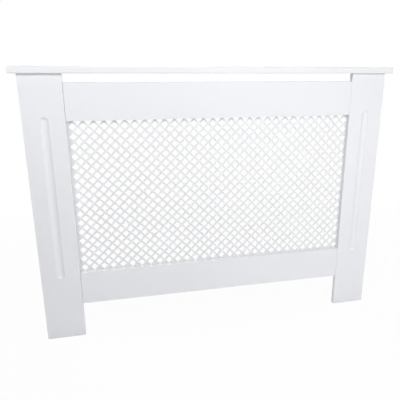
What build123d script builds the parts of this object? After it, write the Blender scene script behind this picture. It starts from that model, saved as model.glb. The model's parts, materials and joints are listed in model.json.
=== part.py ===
from build123d import *
import os
from math import floor, sqrt

# Radiator cover cabinet. +X runs to the right, +Y to the wall and +Z up, and the origin
# is on the floor, under the middle of the cover. All sizes are in millimetres.

# Overall size
cover_width = 1115.0            # along the shelf
cover_height = 815.0            # floor to the top of the shelf
cover_depth = 190.0             # shelf front to wall

# Boards
shelf_thick = 18.0
board_thick = 15.0              # legs, side panels and rails
side_overhang = 19.5            # shelf past the outside of a leg
front_overhang = 13.0           # shelf past the front of the legs
shelf_round = 3.0               # rounded front and side edges of the shelf
edge_ease = 1.0                 # small chamfer along the front edges of legs and rails

# Front
leg_width = 112.0
rail_height = 103.0
gap_above_rail = 24.0           # warm air leaves here, under the shelf
foot_clear = 111.0              # cool air enters here, under the lower rail
flute_width = 24.0
flute_depth = 4.5
flute_run_on = 13.5             # flute past each end of the grille opening

# Side panels
skirting_high = 130.0           # cut-out for the skirting board
skirting_deep = 25.0
skirting_corner = 10.0

# Grille board
grille_thick = 3.0
grille_lap = 15.0               # grille board behind the legs and the lower rail
grille_top_lap = 30.0           # grille board behind the upper rail
diamond_side = 30.0             # square hole, set on its corner: twice the real size, to keep the model light
diamond_bar = 10.4              # board left between two holes: twice the real size too
grille_border = 1.5             # plain board between the legs or lower rail and the first holes

# Pins that hold the grille on the back of the front frame
pin_radius = 0.9
pin_head_radius = 1.8
pin_head_high = 0.8
pin_length = 12.0
pin_inset = 7.5                 # from the edge of the grille board
rail_pins = 3                   # along each rail
leg_pins = 2                    # along each leg

# Cam fittings
cam_radius = 7.42
cam_bore_clear = 0.08           # running fit of a cam in its bore
cam_setback = 24.0              # board edge to the axis of a cam
cam_skirt = 1.2                 # cam below the head of its bolt
cam_end_clear = 0.5             # bore deeper than its cam
cam_hollow = 5.5                # radius to the corners of the hollow
cam_hollow_sides = 12
cam_throw = 0.3                 # hollow off the axis of the cam: this draws the bolt in
cam_head_room = 0.5
cam_neck_room = 0.35
cam_cross = (5.6, 1.3, 2.2)     # length, width and depth of the cross recess
leg_cam_inset = 120.0           # from the floor and from the top of the leg

# Cam bolts
bolt_head_radius = 3.3
bolt_neck_radius = 2.3
bolt_shank_radius = 3.1
bolt_thread_radius = 2.5
bolt_thread_length = 10.0
bolt_tip = 0.9                  # end of the head, from the axis of the cam
bolt_head_end = 3.6
bolt_neck_end = 8.6
bolt_bore_clear = 0.4           # in the board's edge
thread_clear = 0.05

# Dowels
dowel_radius = 4.0
dowel_length = 30.0
dowel_clear = 0.05
dowel_end_clear = 1.0
face_skin = 5.0                 # board left behind a dowel hole in its face
shelf_dowel_inset = 30.0        # from the front and rear edges of the side panel
rail_dowel_inset = 24.0         # from the top and bottom edges of a rail

# Wall brackets
bracket_arm = 30.0
bracket_wide = 20.0
bracket_thick = 2.0
bracket_bend = 2.0              # middle of the plate, round the bend
bracket_drop = 62.0             # underside of the shelf to the middle of the bracket
wall_hole_radius = 2.75
wall_hole_inset = 11.0          # from the end of the wall arm
screw_insets = (8.0, 20.0)      # from the end of the other arm

# Screws
screw_head_radius = 3.5
screw_head_high = 2.2
screw_radius = 1.75
screw_length = 12.0
screw_clear = 0.1

# Dowels, bolts, screws and the holes for them have this many flat sides, to keep the model light.
# The bores that the cams turn in and the holes for the wall screws are round.
rod_sides = 8

# Planes and heights that the boards share
shelf_front = -cover_depth / 2
wall_y = cover_depth / 2
leg_front = shelf_front + front_overhang
board_back = leg_front + board_thick
leg_top = cover_height - shelf_thick
leg_outer = cover_width / 2 - side_overhang
leg_inner = leg_outer - leg_width
leg_middle = (leg_outer + leg_inner) / 2
side_inner = leg_outer - board_thick
side_middle = leg_outer - board_thick / 2
lower_rail_top = foot_clear + rail_height
upper_rail_top = leg_top - gap_above_rail
upper_rail_bottom = upper_rail_top - rail_height
bolt_depth = board_thick / 2
cam_crown = bolt_depth - bolt_head_radius - cam_head_room
cam_height = bolt_depth + bolt_head_radius + cam_skirt

LEFT, RIGHT = -1, 1


def block(low, high):
    """Box between two opposite corners."""
    size = [b - a for a, b in zip(low, high)]
    middle = [(a + b) / 2 for a, b in zip(low, high)]
    return Pos(*middle) * Box(*size)


def cylinder(start, along, radius, length):
    """Cylinder that starts at a point and runs along a direction."""
    seat = Plane(origin=start, z_dir=along).location
    return seat * Cylinder(radius, length, align=(Align.CENTER, Align.CENTER, Align.MIN))


def rod(start, along, radius, length, sides=rod_sides):
    """Rod with flat sides that starts at a point and runs along a direction."""
    seat = Plane(origin=start, z_dir=along)
    return extrude(seat * RegularPolygon(radius, sides), length)


# --- Dowels ---


def dowel(seam, into, reach):
    """Wooden dowel across a seam, with its length past the seam in the direction into."""
    start = seam - into * (dowel_length - reach)
    return rod(start, into, dowel_radius, dowel_length)


def dowel_hole(seam, into, reach):
    """Hole for the part of a dowel that lies past the seam."""
    return rod(seam, into, dowel_radius + dowel_clear, reach + dowel_end_clear)


def leg_dowel_reach():
    """Part of a dowel that stands in the back face of a leg."""
    return board_thick - face_skin - dowel_end_clear


def shelf_dowel_reach():
    """Part of a dowel that stands in the underside of the shelf."""
    return shelf_thick - face_skin - dowel_end_clear


def leg_to_side_seam(side):
    """Point where a dowel crosses from a leg into the edge of its side panel."""
    return Vector(side * side_middle, board_back, leg_top / 2)


def side_to_shelf_seams(side):
    """Points where dowels cross from a side panel into the shelf."""
    places = (board_back + shelf_dowel_inset, wall_y - shelf_dowel_inset)
    return [Vector(side * side_middle, y, leg_top) for y in places]


def leg_to_shelf_seam(side):
    """Point where a dowel crosses from the top of a leg into the shelf."""
    return Vector(side * leg_middle, leg_front + board_thick / 2, leg_top)


def rail_seams(side, rail_bottom):
    """Points where dowels cross from the end of a rail into the edge of a leg."""
    heights = (rail_bottom + rail_dowel_inset, rail_bottom + rail_height - rail_dowel_inset)
    return [Vector(side * leg_inner, leg_front + board_thick / 2, z) for z in heights]


def all_dowels():
    """Every dowel in the cover."""
    back, up = Vector(0, 1, 0), Vector(0, 0, 1)
    pegs = []
    for side in (LEFT, RIGHT):
        out = Vector(side, 0, 0)
        pegs.append(dowel(leg_to_side_seam(side), -back, leg_dowel_reach()))
        pegs += [dowel(seam, up, shelf_dowel_reach()) for seam in side_to_shelf_seams(side)]
        pegs.append(dowel(leg_to_shelf_seam(side), up, shelf_dowel_reach()))
        for rail_bottom in (foot_clear, upper_rail_bottom):
            pegs += [dowel(seam, out, dowel_length / 2) for seam in rail_seams(side, rail_bottom)]
    return pegs


# --- Cam fittings ---


def leg_cam_seat(side, height):
    """Seat of a cam that draws a leg onto its side panel: +X to the bolt, +Z out of the bore."""
    centre = Vector(side * side_inner, board_back + cam_setback, height)
    return Plane(origin=centre, x_dir=(0, -1, 0), z_dir=(-side, 0, 0))


def shelf_cam_seat(side):
    """Seat of the cam that draws the shelf onto a side panel."""
    centre = Vector(side * side_inner, (board_back + wall_y) / 2, leg_top - cam_setback)
    return Plane(origin=centre, x_dir=(0, 0, 1), z_dir=(-side, 0, 0))


def cam_seats(side):
    """The three cam seats of one side panel, by name."""
    return {
        "leg_low": leg_cam_seat(side, leg_cam_inset),
        "leg_high": leg_cam_seat(side, leg_top - leg_cam_inset),
        "shelf": shelf_cam_seat(side),
    }


def cam():
    """Cam lock in its seat's frame, locked, with its face in the plane of the board's face."""
    down = (Align.CENTER, Align.CENTER, Align.MAX)
    body = Cylinder(cam_radius, cam_height, align=down)
    under_crown = (-cam_throw, 0, -cam_crown)
    body -= rod(under_crown, (0, 0, -1), cam_hollow, cam_height - cam_crown, cam_hollow_sides)
    # The neck of the bolt runs through this half turn of the wall as the cam is released.
    neck_half = bolt_neck_radius + cam_neck_room
    low, high = -bolt_depth - neck_half, -bolt_depth + neck_half
    body -= block((-cam_radius, -cam_radius, low), (cam_radius, 0, high))
    body -= block((0, 0, low), (cam_radius, neck_half, high))
    # The head of the bolt leaves here, once the cam has made its half turn.
    head_half = bolt_head_radius + cam_neck_room
    body -= block((-cam_radius, -head_half, -cam_height), (0, head_half, -cam_crown))
    for turn in (0, 90):
        body -= Rot(0, 0, turn) * Box(*cam_cross, align=down)
    return body


def cam_bolt():
    """Cam bolt in the frame of its cam: head in the hollow, thread in the board beyond."""
    stages = [
        (bolt_tip, bolt_head_end, bolt_head_radius),
        (bolt_head_end, bolt_neck_end, bolt_neck_radius),
        (bolt_neck_end, cam_setback, bolt_shank_radius),
        (cam_setback, cam_setback + bolt_thread_length, bolt_thread_radius),
    ]
    along = (1, 0, 0)
    bolt = Part()
    for start, end, radius in stages:
        bolt += rod((start, 0, -bolt_depth), along, radius, end - start)
    return bolt


def cam_cutters(seat):
    """Bore for a cam, and the passage for its bolt from the edge of the board."""
    frame = seat.location
    down = (Align.CENTER, Align.CENTER, Align.MAX)
    bore = Cylinder(cam_radius + cam_bore_clear, cam_height + cam_end_clear, align=down)
    passage = rod((0, 0, -bolt_depth), (1, 0, 0), bolt_shank_radius + bolt_bore_clear, cam_setback)
    return [frame * bore, frame * passage]


def bolt_hole(seat):
    """Hole for the thread of a cam bolt, in the board that the cam draws on."""
    mouth = (cam_setback, 0, -bolt_depth)
    hole = rod(mouth, (1, 0, 0), bolt_thread_radius + thread_clear, bolt_thread_length + thread_clear)
    return seat.location * hole


# --- Wall brackets ---


def bracket_height():
    """Height of the middle of the wall brackets."""
    return leg_top - bracket_drop


def bracket_screw_places():
    """Distances of the bracket screws from the middle of the cover, towards the wall."""
    return [wall_y - bracket_arm + inset for inset in screw_insets]


def wall_hole_place():
    """Distance of a wall hole from the middle of the cover, to the side."""
    return side_inner - bracket_arm + wall_hole_inset


def bracket(side):
    """Bent steel bracket: one arm on the side panel, the other flat on the wall."""
    half_plate = bracket_thick / 2
    beside_panel, before_wall = side * (side_inner - half_plate), wall_y - half_plate
    bend_line = FilletPolyline(
        (beside_panel, wall_y - bracket_arm),
        (beside_panel, before_wall),
        (side * (side_inner - bracket_arm), before_wall),
        radius=bracket_bend,
    )
    low = bracket_height() - bracket_wide / 2
    plate = Pos(0, 0, low) * extrude(trace(bend_line, bracket_thick), bracket_wide, dir=(0, 0, 1))
    wall_hole = (side * wall_hole_place(), wall_y, bracket_height())
    plate -= cylinder(wall_hole, (0, -1, 0), wall_hole_radius, bracket_thick)
    for y in bracket_screw_places():
        mouth = (side * side_inner, y, bracket_height())
        plate -= rod(mouth, (-side, 0, 0), screw_radius + screw_clear, bracket_thick)
    return plate


def bracket_screw(side, place):
    """Pan-head screw through a bracket into its side panel."""
    under_head = Vector(side * (side_inner - bracket_thick), place, bracket_height())
    into = Vector(side, 0, 0)
    head = rod(under_head, -into, screw_head_radius, screw_head_high)
    return head + rod(under_head, into, screw_radius, screw_length)


def bracket_screw_hole(side, place):
    """Pilot hole for a bracket screw, in the side panel."""
    mouth = (side * side_inner, place, bracket_height())
    depth = screw_length - bracket_thick + screw_clear
    return rod(mouth, (side, 0, 0), screw_radius + screw_clear, depth)


# --- Boards ---


def shelf():
    """Top shelf, with rounded front and side edges and the fittings' holes underneath."""
    half = cover_width / 2
    top = block((-half, shelf_front, leg_top), (half, wall_y, cover_height))
    front = top.edges().filter_by(Axis.X).filter_by_position(Axis.Y, shelf_front, shelf_front)
    ends = top.edges().filter_by(Axis.Y)
    top = fillet(front + ends, shelf_round)
    up = Vector(0, 0, 1)
    holes = []
    for side in (LEFT, RIGHT):
        seams = side_to_shelf_seams(side) + [leg_to_shelf_seam(side)]
        holes += [dowel_hole(seam, up, shelf_dowel_reach()) for seam in seams]
        holes.append(bolt_hole(shelf_cam_seat(side)))
    return top - holes


def flute():
    """Cutter for the stopped flute of the left leg: the path of a round-nosed cutter."""
    radius = (flute_width**2 / 4 + flute_depth**2) / (2 * flute_depth)
    axis_y = leg_front + flute_depth - radius
    # The cutter's centre stops short of the flute's end by half the flute's width.
    low = lower_rail_top - flute_run_on + flute_width / 2
    high = upper_rail_bottom + flute_run_on - flute_width / 2
    start = Vector(LEFT * leg_middle, axis_y, low)
    run = cylinder(start, (0, 0, 1), radius, high - low)
    ends = [Pos(start.X, start.Y, z) * Sphere(radius) for z in (low, high)]
    return run + ends


def left_leg():
    """Left front leg: a flat board with a stopped flute and the fittings' holes."""
    low = (-leg_outer, leg_front, 0)
    high = (-leg_inner, board_back, leg_top)
    leg = block(low, high)
    front_edges = leg.edges().filter_by(Axis.Z).filter_by_position(Axis.Y, leg_front, leg_front)
    leg = chamfer(front_edges, edge_ease)
    in_top, in_back = dowel_length - shelf_dowel_reach(), leg_dowel_reach()
    holes = [
        flute(),
        dowel_hole(leg_to_shelf_seam(LEFT), Vector(0, 0, -1), in_top),
        dowel_hole(leg_to_side_seam(LEFT), Vector(0, -1, 0), in_back),
    ]
    for rail_bottom in (foot_clear, upper_rail_bottom):
        for seam in rail_seams(LEFT, rail_bottom):
            holes.append(dowel_hole(seam, Vector(-1, 0, 0), dowel_length / 2))
    for height in (leg_cam_inset, leg_top - leg_cam_inset):
        holes.append(bolt_hole(leg_cam_seat(LEFT, height)))
    return leg - holes


def left_side():
    """Left side panel, cut out at the rear for the skirting board and bored for the fittings."""
    panel = block((-leg_outer, board_back, 0), (-side_inner, wall_y, leg_top))
    cut = block(
        (-leg_outer, wall_y - skirting_deep, 0),
        (-side_inner, wall_y, skirting_high),
    )
    inner_corner = cut.edges().filter_by(Axis.X).sort_by(Axis.Z)[-2:].sort_by(Axis.Y)[0]
    panel -= fillet(inner_corner, skirting_corner)
    in_front = dowel_length - leg_dowel_reach()
    holes = [dowel_hole(leg_to_side_seam(LEFT), Vector(0, 1, 0), in_front)]
    for seam in side_to_shelf_seams(LEFT):
        holes.append(dowel_hole(seam, Vector(0, 0, -1), dowel_length - shelf_dowel_reach()))
    for seat in cam_seats(LEFT).values():
        holes += cam_cutters(seat)
    holes += [bracket_screw_hole(LEFT, place) for place in bracket_screw_places()]
    return panel - holes


def rail(bottom):
    """Rail between the legs, with a dowel hole pair in each end."""
    board = block((-leg_inner, leg_front, bottom), (leg_inner, board_back, bottom + rail_height))
    front_edges = board.edges().filter_by(Axis.X).filter_by_position(Axis.Y, leg_front, leg_front)
    board = chamfer(front_edges, edge_ease)
    holes = []
    for side in (LEFT, RIGHT):
        for seam in rail_seams(side, bottom):
            holes.append(dowel_hole(seam, Vector(-side, 0, 0), dowel_length / 2))
    return board - holes


def diamond_centres():
    """Centres of the holes of the grille: rows half a pitch apart, every other one set over."""
    pitch = (diamond_side + diamond_bar) * sqrt(2)
    half_diagonal = diamond_side / sqrt(2)
    field_width = 2 * (leg_inner - grille_border - half_diagonal)
    field_low = lower_rail_top + grille_border + half_diagonal
    # The top row is cut across by the upper rail, so the rows end at the rail's edge.
    rows = floor((upper_rail_bottom - field_low) / (pitch / 2)) + 1
    columns = floor(field_width / pitch) + 1
    centres = []
    for row in range(rows):
        count = columns - row % 2
        for column in range(count):
            x = (column - (count - 1) / 2) * pitch
            centres.append((x, field_low + row * pitch / 2))
    return centres


def grille_edges():
    """Half width of the grille board, and the heights of its lower and upper edges."""
    return leg_inner + grille_lap, lower_rail_top - grille_lap, upper_rail_bottom + grille_top_lap


def grille():
    """Perforated board behind the opening of the front."""
    half, low, high = grille_edges()
    face = Plane(origin=(0, board_back + grille_thick, 0), x_dir=(1, 0, 0), z_dir=(0, -1, 0))
    sheet = Pos(0, (low + high) / 2) * Rectangle(2 * half, high - low)
    hole = Rectangle(diamond_side, diamond_side, rotation=45)
    sheet -= [Pos(x, z) * hole for x, z in diamond_centres()]
    return extrude(face * sheet, grille_thick)


def grille_pins():
    """Pins driven through the edge of the grille board into the legs and rails."""
    half, low, high = grille_edges()
    across, along = half - pin_inset, (low + pin_inset, high - pin_inset)
    places = []
    for number in range(rail_pins):
        x = ((number + 0.5) / rail_pins - 0.5) * 2 * leg_inner
        places += [(x, z) for z in along]
    for number in range(leg_pins):
        z = lower_rail_top + (number + 0.5) / leg_pins * (upper_rail_bottom - lower_rail_top)
        places += [(side * across, z) for side in (LEFT, RIGHT)]
    pins = []
    for x, z in places:
        under_head = (x, board_back + grille_thick, z)
        head = rod(under_head, (0, 1, 0), pin_head_radius, pin_head_high)
        pins.append(head + rod(under_head, (0, -1, 0), pin_radius, pin_length))
    return pins


def as_group(solids):
    """Separate solids kept together, as identical fasteners are."""
    return Compound(children=list(solids))


def model():
    """Every sub-part by its node's name."""
    leg, side_panel = left_leg(), left_side()
    parts = {
        "shelf": shelf(),
        "leg_left": leg,
        "leg_right": mirror(leg, Plane.YZ),
        "side_left": side_panel,
        "side_right": mirror(side_panel, Plane.YZ),
        "rail_upper": rail(upper_rail_bottom),
        "rail_lower": rail(foot_clear),
        "grille": grille(),
        "grille_pins": as_group(grille_pins()),
        "bracket_left": bracket(LEFT),
        "bracket_right": bracket(RIGHT),
        "dowels": as_group(all_dowels()),
    }
    lock, bolt = cam(), cam_bolt()
    bolts = []
    for hand, side in (("left", LEFT), ("right", RIGHT)):
        for place, seat in cam_seats(side).items():
            parts[f"cam_{hand}_{place}"] = seat.location * lock
            bolts.append(seat.location * bolt)
    parts["cam_bolts"] = as_group(bolts)
    screws = [bracket_screw(side, y) for side in (LEFT, RIGHT) for y in bracket_screw_places()]
    parts["bracket_screws"] = as_group(screws)
    return parts


os.makedirs("parts", exist_ok=True)
for node, shape in model().items():
    export_step(shape, f"parts/{node}.step")
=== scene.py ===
"""Radiator cover cabinet: its painted boards, diamond grille and fittings, and the studio round it.

All sizes are in metres, in the cover's own frame: +X to the right, +Y to the wall, +Z up, with
the origin on the floor under the middle of the cover.
"""

import json
import logging
import math
from dataclasses import dataclass
from enum import Enum
from typing import Any, Callable, Mapping, Optional, Protocol, Sequence, Union

import bmesh
import bpy
from mathutils import Matrix, Vector


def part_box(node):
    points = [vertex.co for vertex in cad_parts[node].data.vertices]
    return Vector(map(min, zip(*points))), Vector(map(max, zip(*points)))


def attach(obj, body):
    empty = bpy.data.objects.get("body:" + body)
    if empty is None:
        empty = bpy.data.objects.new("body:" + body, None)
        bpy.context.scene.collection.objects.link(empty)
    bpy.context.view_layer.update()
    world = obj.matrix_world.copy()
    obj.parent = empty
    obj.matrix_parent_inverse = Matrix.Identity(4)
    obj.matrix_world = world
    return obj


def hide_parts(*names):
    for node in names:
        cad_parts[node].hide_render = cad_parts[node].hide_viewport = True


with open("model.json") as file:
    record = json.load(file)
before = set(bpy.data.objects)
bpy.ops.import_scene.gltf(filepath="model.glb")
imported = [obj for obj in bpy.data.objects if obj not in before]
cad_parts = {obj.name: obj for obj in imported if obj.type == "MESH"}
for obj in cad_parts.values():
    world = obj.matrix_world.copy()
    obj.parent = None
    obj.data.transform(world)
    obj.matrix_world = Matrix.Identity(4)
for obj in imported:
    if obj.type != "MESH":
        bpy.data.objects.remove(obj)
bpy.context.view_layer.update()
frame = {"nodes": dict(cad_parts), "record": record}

MM = 0.001
NEAR = 1e-6  # coordinates closer than this are the same
MERGE = 1e-7  # a new mesh's points closer than this become one
NIL = 1e-9  # a length under this is none
ORDER_DIGITS = 5  # places are sorted to a hundredth of a millimetre
log = logging.getLogger("radiator_cover")

Colour = tuple[float, float, float]
Place = tuple[float, float, float]
Range = tuple[float, float]
Profile = list[tuple[float, float]]
Relief = Callable[[float, float, float], float]

WHITE: Colour = (1.0, 1.0, 1.0)


class Slot(Enum):
    """The material slots of the cover's record."""

    BOARD = "painted_board"
    GRILLE = "grille_board"
    CASTING = "cast_zinc"
    PLATE = "zinc_plate"
    WIRE = "bright_steel"
    DOWEL = "beech"


class Axis(Enum):
    """The axes that an outline is drawn out along."""

    X = 0
    Z = 2


# ---------------------------------------------------------------------------------------------
# Node trees
# ---------------------------------------------------------------------------------------------


class Value:
    """A number in a node tree that takes part in Python expressions."""

    def __init__(self, tree: "NodeTree", socket: bpy.types.NodeSocket) -> None:
        """Wraps a socket.

        Args:
            tree: the node tree that the socket is in.
            socket: an output socket that carries a number.
        """
        self.tree = tree
        self.socket = socket

    def _do(self, operation: str, first: "Operand", second: "Operand") -> "Value":
        """Adds one Math node.

        Args:
            operation: the Math node's operation.
            first: its first number.
            second: its second number.

        Returns:
            The result.
        """
        node = self.tree.node("ShaderNodeMath", {"operation": operation}, {0: first, 1: second})
        return Value(self.tree, node.outputs[0])

    def __add__(self, other: "Operand") -> "Value":
        """Sum."""
        return self._do("ADD", self, other)

    def __radd__(self, other: "Operand") -> "Value":
        """Sum with the number on the left."""
        return self._do("ADD", other, self)

    def __sub__(self, other: "Operand") -> "Value":
        """Difference."""
        return self._do("SUBTRACT", self, other)

    def __rsub__(self, other: "Operand") -> "Value":
        """Difference with the number on the left."""
        return self._do("SUBTRACT", other, self)

    def __mul__(self, other: "Operand") -> "Value":
        """Product."""
        return self._do("MULTIPLY", self, other)

    def __rmul__(self, other: "Operand") -> "Value":
        """Product with the number on the left."""
        return self._do("MULTIPLY", other, self)

    def __truediv__(self, other: "Operand") -> "Value":
        """Quotient."""
        return self._do("DIVIDE", self, other)

    def __rtruediv__(self, other: "Operand") -> "Value":
        """Quotient with the number on the left."""
        return self._do("DIVIDE", other, self)

    def least(self, other: "Operand") -> "Value":
        """The smaller of two numbers."""
        return self._do("MINIMUM", self, other)

    def most(self, other: "Operand") -> "Value":
        """The larger of two numbers."""
        return self._do("MAXIMUM", self, other)

    def swing(self, amount: float) -> "Value":
        """How far a noise is from its middle, 0.5, times an amount."""
        return (self - 0.5) * amount

    def rise(self, low: float, high: float) -> "Value":
        """Smooth step.

        Args:
            low: where the step is still 0.
            high: where it has reached 1. It may be below low, and then the step falls.

        Returns:
            A number from 0 to 1.
        """
        share = ((self - low) / (high - low)).most(0.0).least(1.0)
        return share * share * (3.0 - 2.0 * share)


Operand = Union[Value, bpy.types.NodeSocket, float]


class NodeTree:
    """A node tree, with the one call that adds a node to it."""

    def __init__(self, tree: bpy.types.NodeTree) -> None:
        """Takes over an empty tree."""
        self.tree = tree

    def node(
        self,
        kind: str,
        settings: Optional[Mapping[str, Any]] = None,
        inputs: Optional[Mapping[Union[int, str], Any]] = None,
    ) -> bpy.types.Node:
        """Adds a node.

        Args:
            kind: the node's type.
            settings: its settings, which are set first.
            inputs: a number, colour, socket or Value for each of its sockets, by name or place. A
                list links several sockets to one.

        Returns:
            The node.
        """
        node = self.tree.nodes.new(kind)
        for name, value in (settings or {}).items():
            setattr(node, name, value)
        for name, value in (inputs or {}).items():
            for one in value if isinstance(value, list) else [value]:
                self.feed(node.inputs[name], one)
        return node

    def feed(self, socket: bpy.types.NodeSocket, value: Any) -> None:
        """Links or sets one input.

        Args:
            socket: the input.
            value: what it gets.
        """
        if isinstance(value, Value):
            value = value.socket
        if isinstance(value, bpy.types.NodeSocket):
            self.tree.links.new(value, socket)
        elif socket.type == "RGBA" and len(value) == 3:
            socket.default_value = (*value, 1.0)
        else:
            socket.default_value = value


class Shader(NodeTree):
    """The node tree of a material or of the world, with the calls that the finishes need."""

    def __init__(self, holder: Union[bpy.types.Material, bpy.types.World]) -> None:
        """Starts an empty tree.

        Args:
            holder: the new material or world that the tree is for.
        """
        holder.use_nodes = True
        super().__init__(holder.node_tree)
        self.holder = holder
        self.tree.nodes.clear()

    def place(self) -> bpy.types.NodeSocket:
        """Object coordinates, which are the cover's own frame on every piece."""
        return self.node("ShaderNodeTexCoord").outputs["Object"]

    def axes(self, place: bpy.types.NodeSocket) -> tuple[Value, Value, Value]:
        """X, Y and Z of a place, as numbers."""
        split = self.node("ShaderNodeSeparateXYZ", inputs={0: place})
        return tuple(Value(self, output) for output in split.outputs)

    def stretched(self, place: bpy.types.NodeSocket, scale: Sequence[float]) -> bpy.types.NodeSocket:
        """A place scaled along each axis, as for grain."""
        return self.node("ShaderNodeMapping", inputs={"Vector": place, "Scale": scale}).outputs[0]

    def noise(self, place: bpy.types.NodeSocket, size: float, detail: float = 2.0) -> Value:
        """Noise.

        Args:
            place: where it is read.
            size: width of its largest features.
            detail: how many finer layers it has.

        Returns:
            A number about 0.5.
        """
        inputs = {"Vector": place, "Scale": 1.0 / size, "Detail": detail}
        return Value(self, self.node("ShaderNodeTexNoise", inputs=inputs).outputs["Fac"])

    def blended(self, share: Operand, first: Any, second: Any) -> bpy.types.NodeSocket:
        """Mix of two colours.

        Args:
            share: 0 for the first, 1 for the second.
            first: a colour or a link.
            second: a colour or a link.

        Returns:
            The colour.
        """
        factor, colour_a, colour_b, result = 0, 6, 7, 2
        inputs = {factor: share, colour_a: first, colour_b: second}
        return self.node("ShaderNodeMix", {"data_type": "RGBA"}, inputs).outputs[result]

    def bump(self, height: Value, depth: float) -> bpy.types.NodeSocket:
        """Normal of a surface that goes a depth in where a height from 0 to 1 is 1."""
        return self.node("ShaderNodeBump", inputs={"Height": height, "Distance": depth}).outputs[0]

    def finish(self, **sockets: Any) -> bpy.types.Material:
        """Adds the surface shader and the output.

        Args:
            sockets: the shader's inputs, with spaces in their names as underscores.

        Returns:
            The finished material.
        """
        inputs = {name.replace("_", " "): value for name, value in sockets.items()}
        surface = self.node("ShaderNodeBsdfPrincipled", inputs=inputs)
        self.node("ShaderNodeOutputMaterial", inputs={"Surface": surface.outputs[0]})
        return self.holder


class Weave(NodeTree):
    """A Geometry Nodes tree with named inputs, which makes a plain mesh."""

    def __init__(self, name: str) -> None:
        """Starts a tree.

        Args:
            name: the tree's name.
        """
        super().__init__(bpy.data.node_groups.new(name, "GeometryNodeTree"))
        self.tree.interface.new_socket("Geometry", in_out="OUTPUT", socket_type="NodeSocketGeometry")
        self.source = self.node("NodeGroupInput")
        self.values: dict[str, Any] = {}

    def ask(self, name: str, kind: str, value: Any = None) -> bpy.types.NodeSocket:
        """Adds a named input.

        Args:
            name: the input's name.
            kind: its socket type.
            value: what it gets. The geometry that the tree starts from gets none.

        Returns:
            The socket inside the tree.
        """
        item = self.tree.interface.new_socket(name, in_out="INPUT", socket_type=kind)
        if value is not None:
            self.values[item.identifier] = value
        return self.source.outputs[name]

    def size(self, name: str, value: float) -> Value:
        """Adds a named input for a size."""
        return Value(self, self.ask(name, "NodeSocketFloat", value))

    def count(self, name: str, value: int) -> Value:
        """Adds a named input for a count."""
        return Value(self, self.ask(name, "NodeSocketInt", value))

    def vector(self, x: Operand = 0.0, y: Operand = 0.0, z: Operand = 0.0) -> bpy.types.NodeSocket:
        """A vector from three numbers."""
        return self.node("ShaderNodeCombineXYZ", inputs={"X": x, "Y": y, "Z": z}).outputs[0]

    def vectors(self, operation: str, first: Any, second: Any) -> bpy.types.NodeSocket:
        """One sum on vectors, by the operation of the Vector Math node."""
        node = self.node("ShaderNodeVectorMath", {"operation": operation}, {0: first, 1: second})
        return node.outputs[0]

    def shape(
        self, kind: str, settings: Optional[Mapping[str, Any]] = None, **sockets: Any
    ) -> bpy.types.NodeSocket:
        """Adds a geometry node.

        Args:
            kind: its type, without the words that all of them start with.
            settings: its settings.
            sockets: its inputs, with spaces in their names as underscores.

        Returns:
            Its first output.
        """
        inputs = {name.replace("_", " "): value for name, value in sockets.items()}
        return self.node(f"GeometryNode{kind}", settings, inputs).outputs[0]

    def joined(self, *parts: bpy.types.NodeSocket) -> bpy.types.NodeSocket:
        """Several geometries as one."""
        return self.shape("JoinGeometry", Geometry=list(parts))

    def moved(self, geometry: bpy.types.NodeSocket, by: bpy.types.NodeSocket) -> bpy.types.NodeSocket:
        """Geometry moved by a vector."""
        return self.shape("Transform", Geometry=geometry, Translation=by)

    def make(
        self,
        name: str,
        result: bpy.types.NodeSocket,
        material: bpy.types.Material,
        base: Optional[bpy.types.Mesh] = None,
    ) -> bpy.types.Object:
        """Ends the tree, runs it once and keeps the result as a plain mesh.

        Args:
            name: the piece's name.
            result: the geometry to keep.
            material: what the tree's last node sets.
            base: the mesh that the tree starts from, where it reads one.

        Returns:
            The piece, with no modifier.
        """
        real = self.shape("RealizeInstances", Geometry=result)
        coat = self.shape("SetMaterial", Geometry=real, Material=material)
        self.node("NodeGroupOutput", inputs={0: coat})
        holder = new_object(name, base or bpy.data.meshes.new(name))
        modifier = holder.modifiers.new(self.tree.name, "NODES")
        modifier.node_group = self.tree
        for key, value in self.values.items():
            modifier[key] = value
        return flattened(holder)


# ---------------------------------------------------------------------------------------------
# Finishes
# ---------------------------------------------------------------------------------------------


def darker(colour: Colour, share: float) -> Colour:
    """A colour with only a share of its light."""
    return tuple(share * c for c in colour)


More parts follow.
